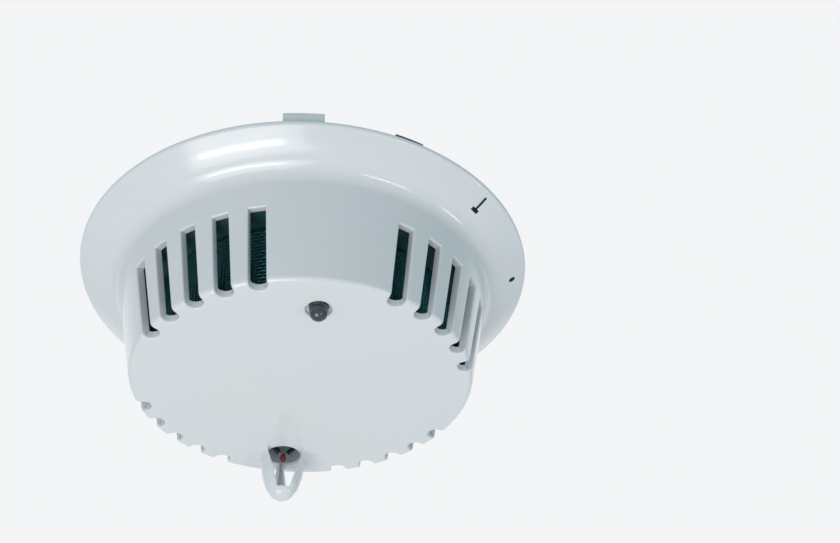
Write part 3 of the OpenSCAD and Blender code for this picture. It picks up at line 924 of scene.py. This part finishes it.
CENTRE = (cad_box[0] + cad_box[1]) / 2
CAMERA_BEARING = math.radians(-7.74)
CAMERA_ELEVATION = math.radians(-35.9)
CAMERA_DISTANCE = 0.3387
CAMERA_YAW = math.radians(14.68)
CAMERA_PITCH = math.radians(39.41)
CAMERA_ROLL = math.radians(2.49)
CAMERA_LENS = 52.05
FLOOR_Z = -1.1
FLOOR_HALF = 8.0
BACKDROP = (0.90, 0.91, 0.92)
AMBIENT = (0.45, 0.525, 0.565)
SHADE = (0.20, 0.36, 0.39)
BACKDROP_TOWARD = (0.19, 0.75, 0.63)
SHADE_TOWARD = (0.92, -0.1, -0.35)


def make_camera():
    """The camera, below the object and to its left, looking up."""
    data = bpy.data.cameras.new("camera")
    data.lens = CAMERA_LENS
    data.clip_start, data.clip_end = 0.01, 20
    camera = bpy.data.objects.new("camera", data)
    flat = math.cos(CAMERA_ELEVATION)
    away = Vector((
        math.sin(CAMERA_BEARING) * flat, -math.cos(CAMERA_BEARING) * flat,
        math.sin(CAMERA_ELEVATION)))
    forward = Vector((
        math.sin(CAMERA_YAW) * math.cos(CAMERA_PITCH),
        math.cos(CAMERA_YAW) * math.cos(CAMERA_PITCH), math.sin(CAMERA_PITCH)))
    right = forward.cross(Vector((0, 0, 1))).normalized()
    up = right.cross(forward)
    tilt = Matrix.Rotation(CAMERA_ROLL, 3, forward)
    axes = Matrix((tilt @ right, tilt @ up, -forward)).transposed()
    camera.matrix_world = Matrix.Translation(CENTRE + away * CAMERA_DISTANCE) @ axes.to_4x4()
    scene.collection.objects.link(camera)
    scene.camera = camera


def soft_light(name, toward, distance, along, width, height, power, colour):
    """A panel light that faces the object, with its width laid along a direction."""
    data = bpy.data.lights.new(name, "AREA")
    data.shape = "RECTANGLE"
    data.size, data.size_y = width, height
    data.energy = power
    data.color = colour
    light = bpy.data.objects.new(name, data)
    direction = Vector(toward).normalized()
    long_axis = Vector(along)
    long_axis = (long_axis - direction * long_axis.dot(direction)).normalized()
    axes = Matrix((long_axis, direction.cross(long_axis), direction)).transposed()
    light.matrix_world = Matrix.Translation(CENTRE + direction * distance) @ axes.to_4x4()
    scene.collection.objects.link(light)


def make_floor():
    """A large sheet of pale paper far below."""
    bm = bmesh.new()
    bmesh.ops.create_grid(bm, x_segments=2, y_segments=2, size=FLOOR_HALF)
    mesh = bpy.data.meshes.new("floor")
    bm.to_mesh(mesh)
    bm.free()
    floor = bpy.data.objects.new("floor", mesh)
    floor.location.z = FLOOR_Z
    scene.collection.objects.link(floor)
    look = Look("floor_paper")
    look.colour(look.ramp(look.noise(0.004), [(0.3, (0.86, 0.86, 0.865)), (0.7, (0.875, 0.875, 0.88))]))
    look.rough(look.spread(look.noise(0.05), 0.6, 0.75))
    floor.data.materials.append(look.material)


def make_world():
    """A pale studio: bright behind the object, cool shade on the right.

    The camera itself sees the backdrop's colour in every direction.
    """
    world = bpy.data.worlds.new("studio")
    world.use_nodes = True
    tree = world.node_tree
    background = tree.nodes["Background"]
    direction = tree.nodes.new("ShaderNodeTexCoord").outputs["Generated"]

    def facing(toward, start, end):
        """From 0 to 1 as the view turns towards a direction."""
        dot = tree.nodes.new("ShaderNodeVectorMath")
        dot.operation = "DOT_PRODUCT"
        dot.inputs[1].default_value = Vector(toward).normalized()
        tree.links.new(direction, dot.inputs[0])
        ranged = tree.nodes.new("ShaderNodeMapRange")
        ranged.interpolation_type = "SMOOTHSTEP"
        ranged.inputs["From Min"].default_value = start
        ranged.inputs["From Max"].default_value = end
        tree.links.new(dot.outputs["Value"], ranged.inputs["Value"])
        return ranged.outputs["Result"]

    def blend(share, a, b):
        """Two colours, fixed or linked, mixed by share."""
        mix = tree.nodes.new("ShaderNodeMix")
        mix.data_type = "RGBA"
        tree.links.new(share, mix.inputs["Factor"])
        for value, socket in ((a, mix.inputs[6]), (b, mix.inputs[7])):
            if isinstance(value, tuple):
                socket.default_value = (*value, 1)
            else:
                tree.links.new(value, socket)
        return mix.outputs[2]

    shaded = blend(facing(SHADE_TOWARD, -0.1, 0.8), AMBIENT, SHADE)
    lit = blend(facing(BACKDROP_TOWARD, 0.45, 0.85), shaded, BACKDROP)
    seen = tree.nodes.new("ShaderNodeLightPath").outputs["Is Camera Ray"]
    tree.links.new(blend(seen, lit, BACKDROP), background.inputs["Color"])
    background.inputs["Strength"].default_value = 1.0
    scene.world = world


LONG_WAY = (0.80, -0.55, -0.23)
make_camera()
soft_light("key", (-0.385, -0.19, -0.90), 0.8, LONG_WAY, 0.38, 0.085, 0.7, (1.0, 0.92, 0.925))
soft_light("fill", (-0.40, -0.30, -0.86), 0.9, LONG_WAY, 0.6, 0.6, 2.5, (1.0, 0.985, 0.985))
soft_light("strip", (0.47, -0.53, -0.70), 0.8, (0.70, 0.35, 0.2), 0.30, 0.03, 0.4, (1.0, 0.95, 0.955))
soft_light("far_strip", (0.845, -0.155, -0.505), 0.8, (0.4, 0.8, 0.4), 0.15, 0.03, 0.2, (1.0, 0.95, 0.955))
make_floor()
make_world()
scene.view_settings.view_transform = "Standard"
